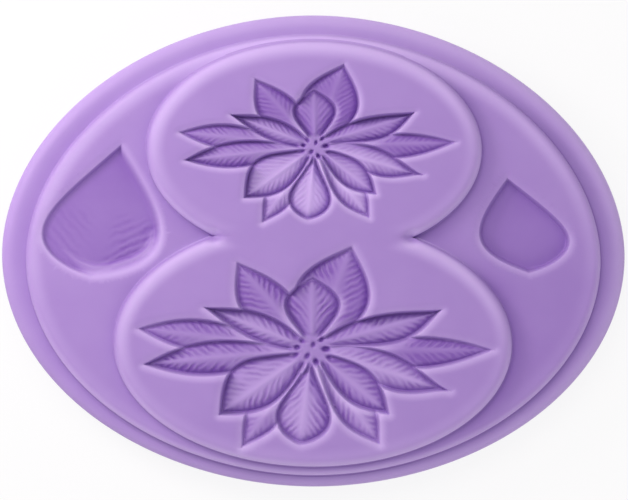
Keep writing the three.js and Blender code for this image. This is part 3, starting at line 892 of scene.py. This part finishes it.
bract_relief = SimpleNamespace(
    lip=0.15, walls=(0.42, 0.42), brim=0.22, brim_width=1.3, channel=0.7, swell=1.3, ridge=0.35, midrib=0.25,
    tilt=0.0, tip_rise=1.2, ledge=0.0, ledge_bloom=0.0, lip_bloom=0.42, tip_shade=0.0,
    vein_tone=0.23, vein_lean=1.1, vein_spacing=1.3, vein_left=1.0, vein_end=1.3)


def sink_eye(surface, x, y):
    eye = smooth_step(*EYE_EDGE, np.hypot(x / (EYE_WIDTH / 2), y / (EYE_LENGTH / 2)))
    surface.depth += (EYE_DEPTH - surface.depth) * eye
    surface.bloom += (EYE_BLOOM - surface.bloom) * eye
    surface.streak *= 1.0 - eye
    for degrees, reach, half_length, half_width, deep in STAMENS:
        angle = math.radians(degrees)
        along = x * math.cos(angle) + y * math.sin(angle) - reach
        across = y * math.cos(angle) - x * math.sin(angle)
        pit = smooth_step(*PIT_EDGE, np.hypot(along / half_length, across / half_width))
        surface.depth += deep * pit
        surface.bloom -= PIT_SHADE * deep * pit


def flower_surface(flower, x, y, flat_bloom):
    turn = math.radians(-flower.turn)
    from_x, from_y = (x - flower.centre[0]) / flower.scale, (y - flower.centre[1]) / flower.scale
    flower_x = from_x * math.cos(turn) - from_y * math.sin(turn)
    flower_y = from_x * math.sin(turn) + from_y * math.cos(turn)
    surface = flat_surface(flat_bloom)
    for angle, reach, deep, left, right, sharp, tone in BRACTS:
        # A bract's floor tone is painted light and shade: its layer's tone, its own offset and painted shade
        # when it points up; its channel is painted shade.
        pale = flower.front_bloom if deep > FRONT_DEPTH else flower.back_bloom
        pale = pale + tone - flower.upper_shade * math.sin(math.radians(angle))
        bract = SimpleNamespace(stalk=(0.0, 0.0), angle=angle, reach=reach, depth=deep, left=left,
                                right=right, blunt=STALK_BLUNT, sharp=sharp, blooms=(CHANNEL_SHADE, pale))
        sink_hollow(surface, bract, bract_relief, flower_x, flower_y)
    sink_eye(surface, flower_x, flower_y)
    surface.streak *= flower.veins
    return surface


print(f"poinsettia: {len(BRACTS)} bracts and {len(STAMENS)} stamens")

# %% [markdown]
# The two discs of the flower tier run into each other at the waist, and their rounded edge turns from one
# to the other in a notch on each side. If each disc were rounded on its own, the edge would go on across
# the middle of the figure of eight. So the rounding is worked out from both ovals together: a place is
# near the edge only if it is near, or outside, both of them. The painted light of the edge fades out
# towards the notch in the same way.

# %% Joined edge of the flower tier
FLOWER_EDGE_HIGHLIGHT = 0.56
EDGE_SHOWS = (0.5, -1.0)
WAIST_BAND = 0.5
NOTCH_SOFT = 2.0
NOTCH_X = large_oval.half_width * math.sqrt(1 - ((WAIST - large_oval.y) / large_oval.half_length) ** 2)


def from_notch(x, y):
    return np.hypot(np.abs(x) - NOTCH_X, y - WAIST)


def joined_inset(x, y):
    large, small = inset_from(large_oval, x, y), inset_from(small_oval, x, y)
    inset = np.hypot(np.maximum(0.0, large), np.maximum(0.0, small))
    return inset * smooth_step(0.0, NOTCH_SOFT, from_notch(x, y))


def edge_share(x, y):
    nearer = np.minimum(inset_from(large_oval, x, y), inset_from(small_oval, x, y))
    return smooth_step(*EDGE_SHOWS, nearer) * smooth_step(0.0, WAIST_BAND, np.abs(y - WAIST))


print(f"notches at x {NOTCH_X:.1f} mm on both sides")

# %% [markdown]
# A flower disc is spun from one profile with many rings across its flat top. Its vertices are then lowered
# by the flower's height formula, as a sculptor would push clay down. An even mesh that is fine enough for
# the walls of the bracts would have too many triangles. So faces that come out steep are subdivided, and
# the formula is used again on the finer mesh. Last, the disc is cut at the waist and the cut is filled.

# %% Flower discs
STEEP = (0.25, 0.2)


def sink_flower(bm, shape, flower):
    width, height = FLOWER_EDGE
    x, y, z = places_of(bm)
    within = (inset_from(shape, x, y) > width) & (z > SEAT + MERGE)
    top = within | (z > FLOWER_TOP - height - MERGE)
    # The walls get painted shade towards their foot, and the top near the edge gets painted highlight and
    # glow.
    tones = wall_tone_with_shade(z, FLOWER_TOP - height, LEAF_TOP, oval_facing(shape, x, y))
    x, y = x[top], y[top]
    inset = joined_inset(x, y)
    edge_light = edge_share(x, y) * edge_bloom(inset, oval_facing(shape, x, y), FLOWER_EDGE_HIGHLIGHT)
    surface = flower_surface(flower, x, y, FLAT_BLOOM + edge_light)
    shoulder = 1.0 - np.minimum(inset, width) / width
    z[top] = FLOWER_TOP - height * (1.0 - np.sqrt(1.0 - shoulder ** 2)) - surface.depth
    set_heights(bm, z)
    for vert, is_top in zip(bm.verts, top):
        vert.tag = bool(is_top)
    set_layers(bm, top, tones, surface)


def is_steep(face, limit):
    heights = [vert.co.z for vert in face.verts]
    return max(heights) - min(heights) > limit and all(vert.tag for vert in face.verts)


def cut_at_waist(bm, shape, geom):
    away = (0, math.copysign(1, WAIST - shape.y), 0)
    return bmesh.ops.bisect_plane(bm, geom=geom, dist=MERGE, plane_co=(0, WAIST, 0), plane_no=away,
                                  clear_outer=True)


def flower_disc(name, node, shape, flower, turns, rings):
    bm = new_piece()
    wall = shape.half_width
    verts = draw_profile(bm, [(0, FLOWER_TOP)] + rounded_edge(wall, FLOWER_TOP, FLOWER_EDGE)
                         + wall_to_seat(wall, LEAF_TOP) + [(0, SEAT)])
    hub, foot = verts[0], verts[-5]
    round_corner(bm, foot, FOOT_RADIUS)
    bmesh.ops.subdivide_edges(bm, edges=hub.link_edges[:], cuts=rings)
    spin_round(bm, turns)
    stretch_to_oval(bm.verts, shape)
    for limit in STEEP:
        sink_flower(bm, shape, flower)
        edges = list({edge for face in bm.faces if is_steep(face, limit) for edge in face.edges})
        bmesh.ops.subdivide_edges(bm, edges=edges, cuts=1, use_grid_fill=True)
    sink_flower(bm, shape, flower)
    cut = cut_at_waist(bm, shape, bm.verts[:] + bm.edges[:] + bm.faces[:])
    rim = [item for item in cut["geom_cut"] if isinstance(item, bmesh.types.BMEdge)]
    bmesh.ops.holes_fill(bm, edges=rim, sides=0)
    finish_piece(name, bm, node)


# Front and back bloom set the tones of a flower's bract floors, with painted shade making the back layer
# darker; upper shade is painted shade on bracts that point up.
large_flower = SimpleNamespace(centre=(-0.1, large_oval.y - 1.0), scale=1.0, turn=0.0,
                               front_bloom=0.40, back_bloom=0.22, upper_shade=0.10, veins=1.0)
small_flower = SimpleNamespace(centre=(0.15, small_oval.y + 0.45), scale=0.779, turn=1.4,
                               front_bloom=0.44, back_bloom=0.24, upper_shade=0.25, veins=0.65)
flower_disc("large_flower_skin", "large_flower_disc", large_oval, large_flower, turns=320, rings=68)
flower_disc("small_flower_skin", "small_flower_disc", small_oval, small_flower, turns=304, rings=64)

# %% [markdown]
# Beside the discs lie two leaf hollows, a large one on the left and a small one on the right. They are
# broad and shallow, and the large one leans, so that its floor rises to the outer side. A plain grid would
# cut across their rims in steps. So each begins as a flat sheet, spun from a radial line and stretched to
# the leaf's outline, with its rings crowded together at the rim. It is sunk later with the whole tier.

# %% Leaf hollows
LEAF_TURNS = 240
LEAF_RINGS = 44
LEAF_MARGIN = 1.06
RIM_CROWDING = 1.6

large_relief = SimpleNamespace(
    lip=0.12, walls=(0.3, 1.3), brim=0.22, brim_width=1.1, channel=1.5, swell=0.1, ridge=0.0, midrib=0.0,
    tilt=0.55, tip_rise=0.4, ledge=0.7, ledge_bloom=0.28, lip_bloom=0.42, tip_shade=0.12,
    vein_tone=0.14, vein_lean=0.74, vein_spacing=1.5, vein_left=0.35, vein_end=0.55)
small_relief = SimpleNamespace(
    lip=0.12, walls=(0.6, 0.35), brim=0.25, brim_width=1.2, channel=1.5, swell=0.1, ridge=0.0, midrib=0.0,
    tilt=0.0, tip_rise=0.4, ledge=0.0, ledge_bloom=0.0, lip_bloom=0.34, tip_shade=0.04,
    vein_tone=0.0, vein_lean=0.74, vein_spacing=1.5, vein_left=0.0, vein_end=0.55)


def leaf(stalk, angle, reach, left, right):
    # A leaf's floor and channel are painted shade, darker than the flat top of the tier.
    return SimpleNamespace(stalk=stalk, angle=angle, reach=reach, depth=2.0, left=left, right=right,
                           blunt=1.1, sharp=0.98, blooms=(0.14, 0.20))


large_leaf = leaf(stalk=(-33.62, -4.05), angle=77.5, reach=20.4, left=(8.8, 0.27), right=(9.0, 0.37))
small_leaf = leaf(stalk=(32.72, -3.05), angle=103.3, reach=14.6, left=(6.05, 0.46), right=(7.1, 0.26))


def leaf_rim(hollow, share):
    way = 1 - abs(1 - 2 * share)
    left, right = half_widths(hollow, np.array([way]))
    across = float(left[0]) if share < 0.5 else -float(right[0])
    angle = math.radians(hollow.angle)
    x = hollow.stalk[0] + way * hollow.reach * math.cos(angle) - across * math.sin(angle)
    y = hollow.stalk[1] + way * hollow.reach * math.sin(angle) + across * math.cos(angle)
    return Vector((x, y))


def join_sheet(bm, sheet):
    carried = bpy.data.meshes.new("sheet")
    sheet.to_mesh(carried)
    sheet.free()
    bm.from_mesh(carried)
    bpy.data.meshes.remove(carried)


def add_leaf_sheet(bm, hollow):
    sheet = new_piece()
    draw_profile(sheet, [(0, LEAF_TOP), (LEAF_MARGIN, LEAF_TOP)])
    bmesh.ops.subdivide_edges(sheet, edges=sheet.edges[:], cuts=LEAF_RINGS)
    for vert in sheet.verts:
        vert.co.x = LEAF_MARGIN * (1 - max(0.0, 1 - vert.co.x / LEAF_MARGIN) ** RIM_CROWDING)
    spin_round(sheet, LEAF_TURNS)
    middle = (leaf_rim(hollow, 0.25) + leaf_rim(hollow, 0.75)) / 2
    for vert in sheet.verts:
        reach = math.hypot(vert.co.x, vert.co.y)
        share = (math.atan2(vert.co.y, vert.co.x) / (2 * math.pi)) % 1.0
        rim = leaf_rim(hollow, share)
        vert.co.x, vert.co.y = middle + (rim - middle) * reach
    join_sheet(bm, sheet)


print(f"leaf hollows {large_leaf.reach} and {small_leaf.reach} mm long")

# %% [markdown]
# The leaf tier is a ring round the flower discs. Its outer wall is spun as before. The inner wall follows
# the figure of eight that the discs stand in: two ovals cut at the waist, joined at the notches and
# extruded down to the seat. The flat top between these walls and the leaf sheets has four loops of
# different kinds, which no grid fits, so it is filled with triangles that are then subdivided and evened
# out until all are small.

# %% Walls and flat top of the leaf tier
EIGHT_TURNS = 200
NOTCH_MERGE = 0.2
FLAT_MESH = 0.9
FLAT_PASSES = 9


def add_oval_loop(bm, shape):
    made = bmesh.ops.create_circle(bm, cap_ends=False, radius=shape.half_width + TUCK, segments=EIGHT_TURNS)
    quarter = Matrix.Rotation(math.pi / 2, 3, "Z")
    bmesh.ops.rotate(bm, verts=made["verts"], cent=(0, 0, 0), matrix=quarter)
    stretch_to_oval(made["verts"], shape)
    bmesh.ops.translate(bm, verts=made["verts"], vec=(0, 0, LEAF_TOP))
    return list({edge for vert in made["verts"] for edge in vert.link_edges})


def add_flat(bm, height):
    sheet = new_piece()
    copies = {}
    for edge in loop_at(bm, height):
        for vert in edge.verts:
            if vert not in copies:
                copies[vert] = sheet.verts.new(vert.co)
        sheet.edges.new([copies[vert] for vert in edge.verts])
    bmesh.ops.triangle_fill(sheet, edges=sheet.edges[:], use_beauty=True, normal=(0, 0, 1))
    for _ in range(FLAT_PASSES):
        long_edges = [edge for edge in sheet.edges if not edge.is_boundary and edge.calc_length() > FLAT_MESH]
        bmesh.ops.subdivide_edges(sheet, edges=long_edges, cuts=1)
        bmesh.ops.triangulate(sheet, faces=sheet.faces[:])
        inner = [edge for edge in sheet.edges if not edge.is_boundary]
        bmesh.ops.beautify_fill(sheet, faces=sheet.faces[:], edges=inner, method="ANGLE")
        free = [vert for vert in sheet.verts if not vert.is_boundary]
        bmesh.ops.smooth_vert(sheet, verts=free, factor=0.5, use_axis_x=True, use_axis_y=True)
    join_sheet(bm, sheet)


bm = new_piece()
wall = tier_oval.half_width
verts = draw_profile(bm, rounded_edge(wall, LEAF_TOP, LEAF_EDGE) + wall_to_seat(wall, FLANGE_TOP))
foot = verts[-4]
round_corner(bm, foot, FOOT_RADIUS)
spin_round(bm, RIM_TURNS)
stretch_to_oval(bm.verts, tier_oval)
for shape in (large_oval, small_oval):
    arc = add_oval_loop(bm, shape)
    arc_verts = list({vert for edge in arc for vert in edge.verts})
    cut_at_waist(bm, shape, arc_verts + arc)
at_waist = [vert for vert in bm.verts if abs(vert.co.y - WAIST) < MERGE]
arc_ends = [vert for vert in at_waist if vert.link_edges and not vert.link_faces]
bmesh.ops.remove_doubles(bm, verts=arc_ends, dist=NOTCH_MERGE)
eight = [edge for edge in bm.edges if edge.is_wire]
eight_wall = bmesh.ops.extrude_edge_only(bm, edges=eight)
lower_verts = [item for item in eight_wall["geom"] if isinstance(item, bmesh.types.BMVert)]
bmesh.ops.translate(bm, verts=lower_verts, vec=(0, 0, SEAT - LEAF_TOP))
add_leaf_sheet(bm, large_leaf)
add_leaf_sheet(bm, small_leaf)
add_flat(bm, LEAF_TOP)
bmesh.ops.triangle_fill(bm, edges=loop_at(bm, SEAT), use_beauty=True, normal=(0, 0, 1))
print(f"leaf tier before it is sunk: {len(bm.faces)} faces")

# %% [markdown]
# Now the tier gets its tones and its hollows. Its rounded edge gets a painted highlight towards the window,
# and the corner at the foot of the flower discs gets painted shade, most of all in the two notches, where
# little light gets in. The lower right of the tier lies in the shade of the large disc. Lamps would darken
# more than that one place, so this shade is painted as a tone too. The leaves are sunk by the same height
# formula as the bracts.

# %% Leaf tier
LEAF_EDGE_HIGHLIGHT = 0.43
NOTCH_SHADE = -0.28
NOTCH_FADE = 4.0
SHADE_BLOOM = -0.10
SHADE_ACROSS = (8.0, 30.0)
SHADE_DOWN = (6.0, -8.0)

x, y, z = places_of(bm)
wall_top = LEAF_TOP - LEAF_EDGE[1]
top = z > wall_top - MERGE
# The tier's walls get painted shade towards their foot.
tones = wall_tone_with_shade(z, wall_top, FLANGE_TOP, oval_facing(tier_oval, x, y))
x, y = x[top], y[top]
facing = oval_facing(tier_oval, x, y)
tone = FLAT_BLOOM + edge_bloom(inset_from(tier_oval, x, y), facing, LEAF_EDGE_HIGHLIGHT)
for shape in (large_oval, small_oval):
    tone = tone + painted_corner_shade(-inset_from(shape, x, y), oval_facing(shape, x, y))
tone = tone + SHADE_BLOOM * smooth_step(*SHADE_ACROSS, x) * smooth_step(*SHADE_DOWN, y)
tone = tone + NOTCH_SHADE * np.exp(-from_notch(x, y) / NOTCH_FADE)
surface = flat_surface(tone)
sink_hollow(surface, large_leaf, large_relief, x, y)
sink_hollow(surface, small_leaf, small_relief, x, y)
z[top] -= surface.depth
set_heights(bm, z)
set_layers(bm, top, tones, surface)
finish_piece("leaf_tier_skin", bm, "left_leaf_wing", "right_leaf_wing")

# %% [markdown]
# The dressed mould has to keep the CAD model's size.

# %% End of the build
print("the dressed mould is built")
